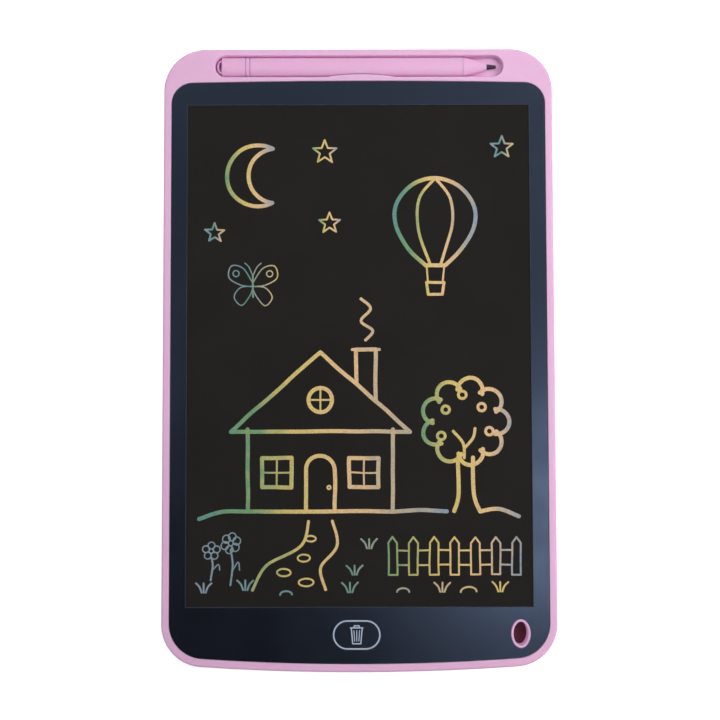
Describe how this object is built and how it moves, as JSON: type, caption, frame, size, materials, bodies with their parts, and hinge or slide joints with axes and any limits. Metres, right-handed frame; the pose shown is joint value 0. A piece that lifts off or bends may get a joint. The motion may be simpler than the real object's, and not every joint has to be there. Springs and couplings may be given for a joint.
{
  "type": "lcd writing tablet",
  "caption": "Handheld LCD writing tablet: pink shell, printed border film, pressure-sensitive screen, erase key, back lock slider, battery door and a stylus in a trough along the top edge.",
  "frame": {"origin": "under the middle of the outline, on the flat back face that the tablet rests on", "axes": "+Z out of the screen, +Y towards the stylus edge, +X to the reader's right"},
  "size_m": [0.163, 0.2594, 0.008],
  "materials": {
    "pink_shell": "satin moulded ABS",
    "pink_pen": "satin moulded ABS",
    "printed_film": "semi-gloss printed film",
    "screen_film": "matte writing film",
    "foam_tape": "matte foam",
    "flex_film": "amber flex film",
    "board_laminate": "green solder mask",
    "black_resin": "moulded resin",
    "dark_plastic": "dark moulded plastic",
    "screw_steel": "plated",
    "cell_steel": "bright",
    "tinned_metal": "tinned",
    "capacitor_ceramic": "matte",
    "ferrite_core": "matte"
  },
  "bodies": {
    "tablet": {"front_frame": "pink_shell", "back_cover": "pink_shell", "case_screw_1": "screw_steel", "case_screw_2": "screw_steel", "case_screw_3": "screw_steel", "case_screw_4": "screw_steel", "bezel_film": "printed_film", "lcd_front_sheet": "screen_film", "lcd_back_sheet": "screen_film", "mounting_tape": "foam_tape", "lcd_flex": "flex_film", "erase_switch_body": "tinned_metal", "circuit_board": "board_laminate", "board_screw_1": "screw_steel", "board_screw_2": "screw_steel", "controller_chip": "black_resin", "capacitor_1": "capacitor_ceramic", "capacitor_2": "capacitor_ceramic", "boost_inductor": "ferrite_core", "lock_switch_body": "tinned_metal", "coin_cell": "cell_steel", "negative_contact": "tinned_metal", "positive_contact": "tinned_metal"},
    "erase_key": {"erase_key": "printed_film", "erase_switch_plunger": "black_resin"},
    "lock_slider": {"lock_slider": "dark_plastic", "lock_switch_lever": "black_resin"},
    "battery_door": {"battery_door": "pink_shell", "battery_door_screw": "screw_steel"},
    "stylus": {"stylus_end_cap": "pink_pen", "stylus_band": "pink_pen", "stylus_barrel": "pink_pen", "stylus_cone": "pink_pen", "stylus_nib": "dark_plastic"}
  },
  "joints": [
    {"name": "erase_key_press", "type": "slide", "parent": "tablet", "child": "erase_key", "axis": [0, 0, -1], "range_m": [0, 0.0004], "stiffness_N_per_m": 3000},
    {"name": "lock_slide", "type": "slide", "parent": "tablet", "child": "lock_slider", "axis": [1, 0, 0], "range_m": [0, 0.002]},
    {"name": "battery_door_tilt", "type": "hinge", "parent": "tablet", "child": "battery_door", "pos_m": [-0.046, -0.1231, 0], "axis": [-1, 0, 0], "range_deg": [0, 60]},
    {"name": "stylus_lift", "type": "slide", "parent": "tablet", "child": "stylus", "axis": [0, 0, 1], "range_m": [0, 0.03]}
  ]
}
